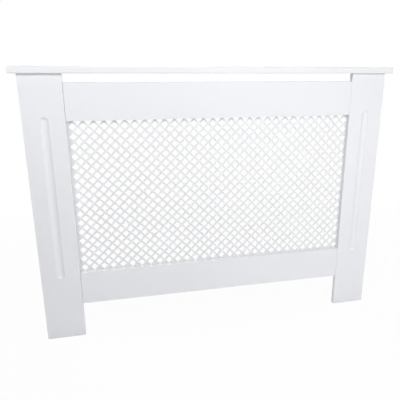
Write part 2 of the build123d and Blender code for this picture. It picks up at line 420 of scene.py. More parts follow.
@dataclass(frozen=True)
class SatinPaint:
    """Satin paint, sprayed on fibreboard."""

    name: str
    colour: Colour
    shade: Colour
    roughness: float = 0.46
    cloud_size: float = 0.22
    cloud_edges: Range = (0.3, 0.7)
    cloud_gloss: float = 0.07
    peel_size: float = 1.5 * MM
    peel_share: float = 0.8
    fibre_size: float = 0.35 * MM
    fibre_share: float = 0.2
    fibre_gloss: float = 0.05
    relief: float = 0.035 * MM
    scuff_height: float = 9 * MM
    scuff_size: float = 6 * MM
    scuff_detail: float = 4.0
    scuff_edges: Range = (0.5, 0.66)
    scuff_cover: float = 0.35
    scuff_dark: float = 0.78
    scuff_gloss: float = 0.12

    def material(self) -> bpy.types.Material:
        """Faintly cloudy colour, orange peel, and scuffs where the feet meet the floor.

        Returns:
            The finish.
        """
        shader = Shader(bpy.data.materials.new(self.name))
        place = shader.place()
        cloud = shader.noise(place, self.cloud_size)
        peel = shader.noise(place, self.peel_size, 1.0)
        fibre = shader.noise(place, self.fibre_size, 1.0)
        _, _, height = shader.axes(place)
        worn = shader.noise(place, self.scuff_size, self.scuff_detail).rise(*self.scuff_edges)
        scuff = height.rise(self.scuff_height, 0.0) * worn
        tint = shader.blended(cloud.rise(*self.cloud_edges), self.shade, self.colour)
        tint = shader.blended(scuff * self.scuff_cover, tint, darker(self.shade, self.scuff_dark))
        gloss = self.roughness + cloud.swing(self.cloud_gloss) + fibre.swing(self.fibre_gloss)
        gloss = gloss + scuff * self.scuff_gloss
        normal = shader.bump(peel * self.peel_share + fibre * self.fibre_share, self.relief)
        return shader.finish(Base_Color=tint, Roughness=gloss, Normal=normal)


@dataclass(frozen=True)
class ZincCasting:
    """Tumbled zinc casting."""

    name: str
    colour: Colour
    roughness: float = 0.38
    grain_size: float = 0.5 * MM
    grain_depth: float = 0.03 * MM
    grain_gloss: float = 0.2
    patch_size: float = 3.0 * MM
    patch_detail: float = 3.0
    patch_edges: Range = (0.35, 0.65)
    patch_dark: float = 0.72

    def material(self) -> bpy.types.Material:
        """Grey metal with the fine pits and patches that tumbling leaves.

        Returns:
            The finish.
        """
        shader = Shader(bpy.data.materials.new(self.name))
        place = shader.place()
        patch = shader.noise(place, self.patch_size, self.patch_detail)
        grain = shader.noise(place, self.grain_size)
        dark = darker(self.colour, self.patch_dark)
        tint = shader.blended(patch.rise(*self.patch_edges), dark, self.colour)
        gloss = self.roughness + grain.swing(self.grain_gloss)
        normal = shader.bump(grain, self.grain_depth)
        return shader.finish(Base_Color=tint, Metallic=1.0, Roughness=gloss, Normal=normal)


@dataclass(frozen=True)
class ZincPlating:
    """Bright zinc plating on rolled or drawn steel."""

    name: str
    colour: Colour
    cast: Colour
    roughness: float = 0.26
    streak: Place = (1.0, 1.0, 0.08)
    streak_size: float = 0.5 * MM
    streak_depth: float = 0.01 * MM
    streak_gloss: float = 0.16
    patch_size: float = 9 * MM
    patch_edges: Range = (0.4, 0.62)
    patch_gloss: float = 0.1

    def material(self) -> bpy.types.Material:
        """Cool metal with a faint yellow and blue cast and fine drawing lines.

        Returns:
            The finish.
        """
        shader = Shader(bpy.data.materials.new(self.name))
        place = shader.place()
        lines = shader.noise(shader.stretched(place, self.streak), self.streak_size)
        patch = shader.noise(place, self.patch_size)
        tint = shader.blended(patch.rise(*self.patch_edges), self.colour, self.cast)
        gloss = self.roughness + lines.swing(self.streak_gloss) + patch.swing(self.patch_gloss)
        normal = shader.bump(lines, self.streak_depth)
        return shader.finish(Base_Color=tint, Metallic=1.0, Roughness=gloss, Normal=normal)


@dataclass(frozen=True)
class RawBeech:
    """Turned beech, unfinished."""

    name: str
    light: Colour
    dark: Colour
    roughness: float = 0.62
    grain_size: float = 1.6 * MM
    grain_detail: float = 3.0
    grain_edges: Range = (0.3, 0.7)
    grain_depth: float = 0.05 * MM
    grain_gloss: float = 0.1
    fleck_size: float = 0.5 * MM
    fleck_edges: Range = (0.6, 0.7)
    fleck_cover: float = 0.5
    fleck_dark: float = 0.7

    def material(self) -> bpy.types.Material:
        """Fine grain with the small dark flecks of beech.

        Returns:
            The finish.
        """
        shader = Shader(bpy.data.materials.new(self.name))
        place = shader.place()
        grain = shader.noise(place, self.grain_size, self.grain_detail)
        fleck = shader.noise(place, self.fleck_size, 1.0).rise(*self.fleck_edges)
        tint = shader.blended(grain.rise(*self.grain_edges), self.dark, self.light)
        tint = shader.blended(fleck * self.fleck_cover, tint, darker(self.dark, self.fleck_dark))
        gloss = self.roughness + grain.swing(self.grain_gloss)
        normal = shader.bump(grain, self.grain_depth)
        return shader.finish(Base_Color=tint, Roughness=gloss, Normal=normal)


FINISHES = {
    Slot.BOARD: SatinPaint("white_satin_board", (0.845, 0.852, 0.875), (0.833, 0.84, 0.863)),
    Slot.GRILLE: SatinPaint("white_satin_grille", (0.815, 0.82, 0.837), (0.8, 0.805, 0.822), 0.5),
    Slot.CASTING: ZincCasting("tumbled_zinc", (0.56, 0.56, 0.57)),
    Slot.PLATE: ZincPlating("zinc_plated_sheet", (0.66, 0.67, 0.69), (0.68, 0.66, 0.6)),
    Slot.WIRE: ZincPlating("zinc_plated_wire", (0.68, 0.69, 0.71), (0.7, 0.68, 0.62), 0.22),
    Slot.DOWEL: RawBeech("raw_beech", (0.62, 0.42, 0.25), (0.5, 0.32, 0.18)),
}


class PaintShop:
    """Makes each finish once and puts it on pieces."""

    def __init__(self) -> None:
        """Makes every finish."""
        self.materials = {slot: finish.material() for slot, finish in FINISHES.items()}

    def dress(self, piece: bpy.types.Object, slot: Slot) -> None:
        """Gives a piece its finish.

        Args:
            piece: a mesh.
            slot: the record's slot that it takes its finish from.
        """
        if not piece.material_slots:
            piece.data.materials.append(self.materials[slot])
        for held in piece.material_slots:
            held.material = self.materials[slot]


# ---------------------------------------------------------------------------------------------
# Mesh helpers
# ---------------------------------------------------------------------------------------------


def new_object(name: str, mesh: bpy.types.Mesh) -> bpy.types.Object:
    """Puts a mesh in the scene, at the origin.

    Args:
        name: the object's name.
        mesh: its mesh.

    Returns:
        The object.
    """
    piece = bpy.data.objects.new(name, mesh)
    bpy.context.scene.collection.objects.link(piece)
    return piece


def flattened(piece: bpy.types.Object) -> bpy.types.Object:
    """Replaces a piece's mesh by what its modifiers make, and removes them.

    Args:
        piece: a mesh object with modifiers.

    Returns:
        The same object.
    """
    graph = bpy.context.evaluated_depsgraph_get()
    mesh = bpy.data.meshes.new_from_object(piece.evaluated_get(graph))
    piece.modifiers.clear()
    old = piece.data
    piece.data = mesh
    if old.users == 0:
        bpy.data.meshes.remove(old)
    mesh.name = piece.name
    return piece


def as_mesh(name: str, work: bmesh.types.BMesh) -> bpy.types.Mesh:
    """Ends a bmesh with its normals outward.

    Args:
        name: the mesh's name.
        work: the bmesh, which is freed.

    Returns:
        The mesh.
    """
    bmesh.ops.remove_doubles(work, verts=work.verts, dist=MERGE)
    bmesh.ops.recalc_face_normals(work, faces=work.faces)
    mesh = bpy.data.meshes.new(name)
    work.to_mesh(mesh)
    work.free()
    return mesh


def shade(piece: bpy.types.Object, angle_deg: float = 50.0) -> None:
    """Smooth shading that keeps flat faces flat, and edges sharper than an angle sharp.

    Args:
        piece: a mesh object.
        angle_deg: the least angle of a sharp edge.
    """
    for face in piece.data.polygons:
        face.use_smooth = True
    piece.data.set_sharp_from_angle(angle=math.radians(angle_deg))
    modifier = piece.modifiers.new("even_normals", "WEIGHTED_NORMAL")
    modifier.keep_sharp = True
    flattened(piece)


def ease(
    work: bmesh.types.BMesh, edges: list[bmesh.types.BMEdge], radius: float, steps: int
) -> None:
    """Rounds edges.

    Args:
        work: the solid.
        edges: the edges to round.
        radius: the rounding's radius.
        steps: how many faces the rounding has.
    """
    bmesh.ops.bevel(
        work,
        geom=edges,
        offset=radius,
        segments=steps,
        profile=0.5,
        affect="EDGES",
        clamp_overlap=True,
    )


def quarter_turn(steps: int) -> list[float]:
    """Angles from 0 to a right angle, in even steps."""
    return [math.pi / 2 * i / steps for i in range(steps + 1)]


def lathe(profile: Profile, sides: int, relief: Optional[Relief] = None) -> bmesh.types.BMesh:
    """Turned solid about +Z.

    Args:
        profile: radius and height of each ring, from one end to the other. The first and the last
            ring are closed by a flat cap, or by a point where the radius is 0.
        sides: how many sides the solid has.
        relief: the radius at a share of the turn, a height and a plain radius, where it isn't plain.

    Returns:
        The solid, as a bmesh.
    """
    work = bmesh.new()
    rings = []
    for radius, height in profile:
        if radius < NIL:
            rings.append([work.verts.new((0.0, 0.0, height))] * sides)
            continue
        ring = []
        for i in range(sides):
            r = relief(i / sides, height, radius) if relief else radius
            angle = math.tau * i / sides
            ring.append(work.verts.new((r * math.cos(angle), r * math.sin(angle), height)))
        rings.append(ring)
    for low, high in zip(rings, rings[1:]):
        for i in range(sides):
            j = (i + 1) % sides
            corners = list(dict.fromkeys((low[i], low[j], high[j], high[i])))
            work.faces.new(corners)
    for ring in (rings[0], rings[-1]):
        if len(set(ring)) == sides:
            work.faces.new(ring)
    bmesh.ops.recalc_face_normals(work, faces=work.faces)
    return work


def prism(outline: Profile, start: float, end: float, axis: Axis) -> bmesh.types.BMesh:
    """Outline drawn out along an axis.

    Args:
        outline: its corners in the two other axes, in order.
        start: where it starts on the axis.
        end: where it ends.
        axis: the axis.

    Returns:
        The solid, as a bmesh.
    """
    work = bmesh.new()
    ends = []
    for place in (start, end):
        corners = [(place, a, b) if axis is Axis.X else (a, b, place) for a, b in outline]
        ends.append([work.verts.new(corner) for corner in corners])
    count = len(outline)
    for i in range(count):
        j = (i + 1) % count
        work.faces.new((ends[0][i], ends[0][j], ends[1][j], ends[1][i]))
    for ring in ends:
        work.faces.new(ring)
    bmesh.ops.recalc_face_normals(work, faces=work.faces)
    return work


def box_mesh(low: Sequence[float], high: Sequence[float]) -> bmesh.types.BMesh:
    """Box between two corners.

    Args:
        low: its lowest corner.
        high: its highest corner.

    Returns:
        The box, as a bmesh.
    """
    work = bmesh.new()
    bmesh.ops.create_cube(work, size=1.0)
    size = [b - a for a, b in zip(low, high)]
    middle = [(a + b) / 2 for a, b in zip(low, high)]
    bmesh.ops.scale(work, vec=size, verts=work.verts)
    bmesh.ops.translate(work, vec=middle, verts=work.verts)
    return work


def upright(direction: Sequence[float]) -> Matrix:
    """Turn that takes +Z to a direction."""
    return Vector((0.0, 0.0, 1.0)).rotation_difference(Vector(direction)).to_matrix().to_4x4()


class Workpiece:
    """A solid that is cut with others."""

    def __init__(self, name: str, work: bmesh.types.BMesh) -> None:
        """Starts from a closed solid.

        Args:
            name: the piece's name.
            work: the solid.
        """
        self.piece = new_object(name, as_mesh(name, work))
        self.cutters = bmesh.new()

    def cut(self, work: bmesh.types.BMesh, place: Matrix = Matrix.Identity(4)) -> None:
        """Adds a cutter.

        Args:
            work: the cutter, which is freed.
            place: where it goes.
        """
        bmesh.ops.transform(work, matrix=place, verts=work.verts)
        mesh = as_mesh("cutter", work)
        self.cutters.from_mesh(mesh)
        bpy.data.meshes.remove(mesh)

    def done(self) -> bpy.types.Object:
        """Makes the cuts.

        Returns:
            The piece, as a plain mesh.
        """
        mesh = bpy.data.meshes.new("cutters")
        self.cutters.to_mesh(mesh)
        self.cutters.free()
        tool = new_object("cutters", mesh)
        modifier = self.piece.modifiers.new("cut", "BOOLEAN")
        modifier.operation = "DIFFERENCE"
        modifier.solver = "EXACT"
        modifier.use_self = True
        modifier.object = tool
        flattened(self.piece)
        bpy.data.objects.remove(tool)
        bpy.data.meshes.remove(mesh)
        return self.piece


# ---------------------------------------------------------------------------------------------
# Places, read from the frame
# ---------------------------------------------------------------------------------------------

BODY_OF = {
    node: body for body, nodes in frame["record"]["behaviour"]["bodies"].items() for node in nodes
}


@dataclass(frozen=True)
class Rod:
    """A straight fitting that lies along an axis, by the corners of its box."""

    low: Vector
    high: Vector

    @property
    def axis(self) -> int:
        """The axis that it lies along: 0, 1 or 2."""
        size = self.high - self.low
        return max(range(3), key=lambda i: size[i])

    @property
    def length(self) -> float:
        """Its length."""
        return (self.high - self.low)[self.axis]

    @property
    def middle(self) -> Vector:
        """Its middle."""
        return (self.low + self.high) / 2

    def along(self, sign: int) -> Vector:
        """Direction along it, to the positive side for sign 1 and to the other for -1.

        Args:
            sign: 1 or -1.

        Returns:
            The direction, of length 1.
        """
        direction = Vector((0.0, 0.0, 0.0))
        direction[self.axis] = float(sign)
        return direction

    def end(self, sign: int) -> Vector:
        """Middle of its end on the positive side for sign 1, and on the other for -1."""
        return self.middle + self.along(sign) * (self.length / 2)


def rods_of(node: str) -> list[Rod]:
    """The separate fittings in a node.

    Args:
        node: a node of the frame that holds fittings of one kind.

    Returns:
        One rod for each fitting, in a fixed order.
    """
    work = bmesh.new()
    work.from_mesh(frame["nodes"][node].data)
    bmesh.ops.remove_doubles(work, verts=work.verts, dist=NEAR)
    left = set(work.verts)
    rods = []
    while left:
        queue = [left.pop()]
        places = [queue[0].co.copy()]
        while queue:
            vertex = queue.pop()
            near = {edge.other_vert(vertex) for edge in vertex.link_edges} & left
            left -= near
            places += [v.co.copy() for v in near]
            queue.extend(near)
        low = Vector([min(p[i] for p in places) for i in range(3)])
        high = Vector([max(p[i] for p in places) for i in range(3)])
        rods.append(Rod(low, high))
    work.free()
    return sorted(rods, key=lambda rod: tuple(round(c, ORDER_DIGITS) for c in rod.middle))


def side_of(x: float) -> int:
    """-1 left of the cover's middle, and 1 right of it."""
    return -1 if x < 0 else 1


def settle(piece: bpy.types.Object, body: str, node: str) -> None:
    """Hands a finished piece to the frame.

    Args:
        piece: the piece.
        body: the body that it moves with.
        node: the node that it stands for.
    """
    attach(piece, body)
    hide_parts(node)
    log.info("%s rides on %s, with %d faces", piece.name, body, len(piece.data.polygons))


@dataclass(frozen=True)
class Spot:
    """Where a fitting goes: the place of its tip and the direction to its head."""

    tip: Vector
    aim: Vector


@dataclass(frozen=True)
class Hole:
    """A round hole in the boards whose nodes start with given words."""

    start: Vector
    along: Vector
    radius: float
    length: float
    boards: tuple[str, ...] = ("shelf", "leg", "side", "rail")
    sides: int = 32

    def cutter(self) -> tuple[bmesh.types.BMesh, Matrix]:
        """The hole as a solid, and its place."""
        work = lathe([(self.radius, 0.0), (self.radius, self.length)], self.sides)
        return work, Matrix.Translation(self.start) @ upright(self.along)

    def meets(self, node: str) -> bool:
        """Whether the hole is to be cut in a board and lies partly in it.

        Args:
            node: the board's node.

        Returns:
            True where the boxes of the hole and the board overlap, and the board is of its kind.
        """
        if not node.startswith(self.boards):
            return False
        low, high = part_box(node)
        end = self.start + self.along * self.length
        room = Vector([0.0 if abs(a) > 0.5 else self.radius for a in self.along])
        first = Vector([min(a, b) for a, b in zip(self.start, end)]) - room
        last = Vector([max(a, b) for a, b in zip(self.start, end)]) + room
        return all(a < d and c < b for a, b, c, d in zip(low, high, first, last))


@dataclass
class Joinery:
    """The fittings' places, and the holes that they need in the boards."""

    dowel_radius: float = 4.05 * MM
    dowel_spare: float = 1.0 * MM
    pin_radius: float = 0.9 * MM
    pin_depth: float = 10 * MM
    pin_sides: int = 16
    screw_radius: float = 1.85 * MM
    screw_depth: float = 10.1 * MM
    screw_sides: int = 24
    cam_bore_radius: float = 7.5 * MM
    cam_bore_depth: float = 12.5 * MM
    cam_bore_sides: int = 64
    cam_setback: float = 24.0 * MM
    bolt_depth: float = 7.5 * MM
    bolt_bore_radius: float = 3.5 * MM
    thread_radius: float = 2.55 * MM
    thread_end: float = 34.05 * MM
    thread_spare: float = 0.05 * MM
    overrun: float = 1.0 * MM

    def cam_nodes(self) -> list[str]:
        """The nodes of the cams, in a fixed order."""
        return sorted(n for n in frame["nodes"] if n.startswith("cam_") and n != "cam_bolts")

    def cam_seat(self, node: str) -> Matrix:
        """Seat of a cam.

        Args:
            node: the cam's node.

        Returns:
            Its frame: +X to its bolt, +Z out of its bore, and the origin in the board's face.
        """
        low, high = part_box(node)
        centre = (low + high) / 2
        side = side_of(centre.x)
        bolt = min(rods_of("cam_bolts"), key=lambda rod: (rod.middle - centre).length)
        to_bolt = bolt.along(1 if (bolt.middle - centre).dot(bolt.along(1)) > 0 else -1)
        out = Vector((-side, 0.0, 0.0))
        centre.x = low.x if side > 0 else high.x
        columns = (to_bolt, out.cross(to_bolt), out)
        return Matrix.Translation(centre) @ Matrix(columns).transposed().to_4x4()

    def dowels(self) -> list[Spot]:
        """Places of the dowels."""
        return [Spot(rod.end(-1), rod.along(1)) for rod in rods_of("dowels")]

    def pins(self) -> list[Spot]:
        """Places of the grille's pins, with their heads to the wall."""
        return [Spot(rod.end(-1), rod.along(1)) for rod in rods_of("grille_pins")]

    def screws(self) -> list[Spot]:
        """Places of the brackets' screws, with their heads to the cover's middle."""
        sided = [(rod, side_of(rod.middle.x)) for rod in rods_of("bracket_screws")]
        return [Spot(rod.end(side), rod.along(-side)) for rod, side in sided]

    def bolts(self) -> list[Spot]:
        """Places of the cam bolts, with their heads in the cams.

        Returns:
            One spot for each cam, in the cams' order.
        """
        seats = [self.cam_seat(node) for node in self.cam_nodes()]
        tip = Vector((self.thread_end - self.thread_spare, 0.0, -self.bolt_depth))
        return [Spot(seat @ tip, -seat.col[0].to_3d()) for seat in seats]

    def holes(self) -> list[Hole]:
        """Every hole for a fitting.

        Returns:
            The holes of the dowels, pins, screws and cams, in that order.
        """
        holes = []
        for rod in rods_of("dowels"):
            start = rod.end(-1) - rod.along(1) * self.dowel_spare
            length = rod.length + 2 * self.dowel_spare
            holes.append(Hole(start, rod.along(1), self.dowel_radius, length))
        for spot in self.pins():
            sizes = (self.pin_radius, self.pin_depth, ("leg", "rail"), self.pin_sides)
            holes.append(Hole(spot.tip, spot.aim, *sizes))
        for spot in self.screws():
            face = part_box("side_left")[1].x * -side_of(spot.tip.x)
            start = Vector((face, spot.tip.y, spot.tip.z)) + spot.aim * self.overrun
            sizes = (self.screw_radius, self.screw_depth + self.overrun, ("side",), self.screw_sides)
            holes.append(Hole(start, -spot.aim, *sizes))
        for node in self.cam_nodes():
            holes += self.cam_holes(self.cam_seat(node))
        return holes

    def cam_holes(self, seat: Matrix) -> list[Hole]:
        """Bore of a cam, passage of its bolt, and the hole for the bolt's thread.

        Args:
            seat: the cam's seat.

        Returns:
            The three holes.
        """
        to_bolt, out = seat.col[0].to_3d(), seat.col[2].to_3d()
        axis = Vector((0.0, 0.0, -self.bolt_depth))
        mouth = seat @ Vector((0.0, 0.0, self.overrun))
        seam = seat @ (axis + Vector((self.cam_setback - self.overrun, 0.0, 0.0)))
        bore_depth = self.cam_bore_depth + self.overrun
        passage = self.cam_setback + self.overrun
        thread_depth = self.thread_end - self.cam_setback + self.overrun
        return [
            Hole(mouth, -out, self.cam_bore_radius, bore_depth, ("side",), self.cam_bore_sides),
            Hole(seat @ axis, to_bolt, self.bolt_bore_radius, passage, ("side",)),
            Hole(seam, to_bolt, self.thread_radius, thread_depth, ("leg", "shelf")),
        ]


# ---------------------------------------------------------------------------------------------
# Boards
# ---------------------------------------------------------------------------------------------


@dataclass
class Board:
    """A painted board with eased edges and the holes for its fittings."""

    node: str
    arris: float = 0.4 * MM
    arris_steps: int = 2
    sharp_deg: float = 60.0

    def blank(self) -> bmesh.types.BMesh:
        """The board before any edge is eased or any hole is cut."""
        return box_mesh(*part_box(self.node))

    def ease_edges(self, work: bmesh.types.BMesh) -> None:
        """Eases every edge that is still sharp.

        Args:
            work: the board.
        """
        least = math.radians(self.sharp_deg)
        sharp = [edge for edge in work.edges if edge.calc_face_angle() > least]
        ease(work, sharp, self.arris, self.arris_steps)

    def cutters(self) -> list[tuple[bmesh.types.BMesh, Matrix]]:
        """Forms cut out of the board beside the fittings' holes."""
        return []

    def build(self, shop: PaintShop, joinery: Joinery) -> None:
        """Makes, paints and places the board.

        Args:
            shop: where the finishes are.
            joinery: where the fittings' holes are.
        """
        blank = self.blank()
        self.ease_edges(blank)
        work = Workpiece(f"{self.node}_board", blank)
        for cutter, place in self.cutters():
            work.cut(cutter, place)
        for hole in joinery.holes():
            if hole.meets(self.node):
                work.cut(*hole.cutter())
        piece = work.done()
        shade(piece)
        shop.dress(piece, Slot.BOARD)
        settle(piece, "cabinet", self.node)


@dataclass
class Shelf(Board):
    """Top shelf with a round nose along its front and both ends."""

    nose: float = 3.0 * MM
    nose_steps: int = 6

    def blank(self) -> bmesh.types.BMesh:
        """The shelf with its nose.

        Returns:
            The shelf, with the edges of its rear face still sharp.
        """
        low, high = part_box(self.node)
        work = box_mesh(low, high)
        rear = [v for v in work.verts if v.co.y > high.y - NEAR]
        rounded = [e for e in work.edges if not all(v in rear for v in e.verts)]
        ease(work, rounded, self.nose, self.nose_steps)
        return work


@dataclass
class FrontBoard(Board):
    """A leg or rail of the front, with its front edges eased more than the others."""

    front_arris: float = 1.0 * MM
    front_steps: int = 4
    end_gaps: Range = (0.7 * MM, 0.3 * MM)

    def blank(self) -> bmesh.types.BMesh:
        """The board with its front edges eased, and a hairline left free at each end.

        Returns:
            The board, with its other edges still sharp.
        """
        low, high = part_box(self.node)
        left, right = self.end_gaps
        work = box_mesh((low.x + left, low.y, low.z), (high.x - right, high.y, high.z))
        front = [edge for edge in work.edges if all(v.co.y < low.y + NEAR for v in edge.verts)]
        ease(work, front, self.front_arris, self.front_steps)
        return work


@dataclass
class Leg(FrontBoard):
    """Front leg with a stopped flute."""

    end_gaps: Range = (0.0, 0.0)
    flute_width: float = 24.0 * MM
    flute_depth: float = 5.5 * MM
    flute_low: float = 200.5 * MM
    flute_high: float = 683.5 * MM
    flute_sides: int = 144
    end_steps: int = 12

    def cutters(self) -> list[tuple[bmesh.types.BMesh, Matrix]]:
        """The path of the round-nosed cutter that makes the flute.

        Returns:
            The path as a solid, and its place.
        """
        low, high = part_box(self.node)
        radius = (self.flute_width**2 / 4 + self.flute_depth**2) / (2 * self.flute_depth)
        first = self.flute_low + self.flute_width / 2
        last = self.flute_high - self.flute_width / 2
        turns = quarter_turn(self.end_steps)
        profile = [(radius * math.sin(t), first - radius * math.cos(t)) for t in turns]
        profile += [(radius * math.sin(t), last + radius * math.cos(t)) for t in reversed(turns)]
        axis = Vector(((low.x + high.x) / 2, low.y + self.flute_depth - radius, 0.0))
        return [(lathe(profile, self.flute_sides), Matrix.Translation(axis))]


@dataclass
class SidePanel(Board):
    """Side panel, cut out at the rear for the skirting board."""

    skirting_high: float = 130.0 * MM
    skirting_deep: float = 25.0 * MM
    corner: float = 10.0 * MM
    corner_steps: int = 10

    def blank(self) -> bmesh.types.BMesh:
        """The panel with its cut-out.

        Returns:
            The panel, with its edges still sharp.
        """
        low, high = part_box(self.node)
        step = high.y - self.skirting_deep
        outline = [(low.y, low.z), (step, low.z)]
        for turn in quarter_turn(self.corner_steps):
            y = step + self.corner * (1 - math.cos(turn))
            z = self.skirting_high - self.corner * (1 - math.sin(turn))
            outline.append((y, z))
        outline += [(high.y, self.skirting_high), (high.y, high.z), (low.y, high.z)]
        return prism(outline, low.x, high.x, Axis.X)


# ---------------------------------------------------------------------------------------------
# Grille
# ---------------------------------------------------------------------------------------------


@dataclass
class DiamondGrille:
    """Thin board with square holes set on their corners, in half-stepped rows."""

    hole_side: float = 15.0 * MM
    bar: float = 5.2 * MM
    columns: int = 30
    row_pairs: int = 16
    shift: float = 2.8 * MM
    lowest_row: float = 224.9 * MM
    corner: float = 0.7 * MM
    corner_steps: int = 2
    arris: float = 0.3 * MM
    sharp_deg: float = 30.0
    merge_within: float = 0.002 * MM

    @property
    def pitch(self) -> float:
        """Distance between two holes of one row."""
        return (self.hole_side + self.bar) * math.sqrt(2)

    def build(self, shop: PaintShop) -> None:
        """Makes, paints and places the grille.

        Args:
            shop: where the finishes are.
        """
        low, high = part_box("grille")
        middle, size = (low + high) / 2, high - low
        weave = Weave("diamond_perforation")
        board = self.board(weave, middle, size)
        centre = weave.ask("Centre", "NodeSocketVector", tuple(middle))
        stood = weave.shape(
            "Transform", Geometry=board, Translation=centre, Rotation=(math.pi / 2, 0.0, 0.0)
        )
        piece = weave.make("diamond_grille_board", stood, shop.materials[Slot.GRILLE])
        work = bmesh.new()
        work.from_mesh(piece.data)
        bmesh.ops.recalc_face_normals(work, faces=work.faces)
        work.to_mesh(piece.data)
        work.free()
        shade(piece, self.sharp_deg)
        settle(piece, "cabinet", "grille")

    def board(self, weave: Weave, middle: Vector, size: Vector) -> bpy.types.NodeSocket:
        """The pierced board, lying flat with its middle at the origin and its front up.

        Args:
            weave: the tree.
            middle: the middle of the standing board.
            size: its size.

        Returns:
            The board, closed all round.
        """
        thick = weave.size("Thickness", size.y)
        reach = weave.size("Hole Reach", self.hole_side / math.sqrt(2))
        arris = weave.size("Arris", self.arris)
        points = self.hole_points(weave, middle)
        mouth = self.hole_outline(weave, reach + arris)
        rim = weave.shape(
            "CurvePrimitiveQuadrilateral",
            {"mode": "RECTANGLE"},
            Width=weave.size("Width", size.x),
            Height=weave.size("Height", size.z),
        )
        mouths = weave.shape("InstanceOnPoints", Points=points, Instance=mouth)
        outlines = weave.shape("RealizeInstances", Geometry=weave.joined(rim, mouths))
        face = weave.shape("FillCurve", {"mode": "TRIANGLES"}, Curve=outlines)

        half = thick * 0.5
        up = weave.vector(z=half)
        front = weave.moved(face, up)
        back = weave.moved(weave.shape("FlipFaces", Mesh=face), weave.vector(z=half * -1.0))
        wall = weave.moved(self.hole_wall(weave, mouth, reach, arris, thick), up)
        walls = weave.shape("InstanceOnPoints", Points=points, Instance=wall)
        edge = weave.moved(self.outer_edge(weave, rim, thick), up)
        whole = weave.shape("RealizeInstances", Geometry=weave.joined(front, back, walls, edge))
        return weave.shape("MergeByDistance", Geometry=whole, Distance=self.merge_within)

    def hole_points(self, weave: Weave, middle: Vector) -> bpy.types.NodeSocket:
        """Points of every hole: full rows, and between them rows with one hole fewer.

        Args:
            weave: the tree.
            middle: the middle of the standing board.

        Returns:
            The points.
        """
        left = self.shift - (self.columns - 1) / 2 * self.pitch - middle.x
        start = (left, self.lowest_row - middle.z, 0.0)
        first = weave.ask("First Hole", "NodeSocketVector", start)
        columns = weave.count("Columns", self.columns)
        pairs = weave.count("Row Pairs", self.row_pairs)
        pitch = weave.size("Pitch", self.pitch)
        grids = []
        for fewer, lift in ((0.0, 0.0), (1.0, 0.5)):
            across = columns - fewer
            wide = (across - 1.0) * pitch
            tall = (pairs - 1.0) * pitch
            grid = weave.shape(
                "MeshGrid", Size_X=wide, Size_Y=tall, Vertices_X=across, Vertices_Y=pairs
            )
            aside = pitch * lift
            corner = weave.vector(wide * 0.5 + aside, tall * 0.5 + aside)
            grids.append(weave.moved(grid, weave.vectors("ADD", first, corner)))
        return weave.joined(*grids)

    def hole_outline(self, weave: Weave, reach: Value) -> bpy.types.NodeSocket:
        """Outline of one hole: a square on its corner, with small round corners.

        Args:
            weave: the tree.
            reach: the middle of the hole to a corner.

        Returns:
            The outline, as a curve.
        """
        corner = weave.size("Hole Corner", self.corner)
        square = weave.shape("CurvePrimitiveCircle", {"mode": "RADIUS"}, Resolution=4, Radius=reach)
        return weave.shape(
            "FilletCurve", {"mode": "POLY"}, Curve=square, Radius=corner, Count=self.corner_steps
        )

    @staticmethod
    def hole_wall(
        weave: Weave, mouth: bpy.types.NodeSocket, reach: Value, arris: Value, thick: Value
    ) -> bpy.types.NodeSocket:
        """Wall of one hole, with an eased edge at both faces.

        Args:
            weave: the tree.
            mouth: the outline at the face.
            reach: the hole's own reach, from its middle to a corner.
            arris: the width of the eased edge.
            thick: the board's thickness.

        Returns:
            The wall, from the face downward.
        """
        mesh = weave.shape("CurveToMesh", Curve=mouth)
        narrow = reach / (reach + arris)
        every = weave.shape("InputPosition")
        ring: Any = True
        for depth, scale in ((arris, narrow), (thick - arris * 2.0, None), (arris, 1.0 / narrow)):
            down = weave.vector(z=depth * -1.0)
            step = weave.node(
                "GeometryNodeExtrudeMesh",
                {"mode": "EDGES"},
                {"Mesh": mesh, "Selection": ring, "Offset": down},
            )
            mesh, ring = step.outputs["Mesh"], step.outputs["Top"]
            if scale is not None:
                place = weave.vectors("MULTIPLY", every, weave.vector(scale, scale, 1.0))
                mesh = weave.shape("SetPosition", Geometry=mesh, Selection=ring, Position=place)
        return mesh

    @staticmethod
    def outer_edge(weave: Weave, rim: bpy.types.NodeSocket, thick: Value) -> bpy.types.NodeSocket:
        """Outer edge of the board, from its front face back."""
        mesh = weave.shape("CurveToMesh", Curve=rim)
        return weave.shape(
            "ExtrudeMesh", {"mode": "EDGES"}, Mesh=mesh, Offset=weave.vector(z=thick * -1.0)
        )


# ---------------------------------------------------------------------------------------------
# Fittings
# ---------------------------------------------------------------------------------------------


class Fitting(Protocol):
    """A small fitting that is made once and copied."""

    def blank(self, name: str) -> bpy.types.Object:
        """The fitting under a name, with its tip at the origin and its head up."""


def dome(
    radius: float, foot: float, high: float, turns_deg: Sequence[float], fullness: float = 1.0
) -> Profile:
    """Rings of a domed head.

    Args:
        radius: the head's radius.
        foot: height at which the dome starts.
        high: how high it is.
        turns_deg: the angle of each ring, from 0 at the foot to 90 at the top.
        fullness: 1 for a plain dome, and less for one that stays wide for longer.

    Returns:
        Radius and height of each ring, and the top.
    """
    rings = []
    for turn in turns_deg:
        angle = math.radians(turn)
        rings.append((radius * math.cos(angle) ** fullness, foot + high * math.sin(angle)))
    return [*rings, (0.0, foot + high)]


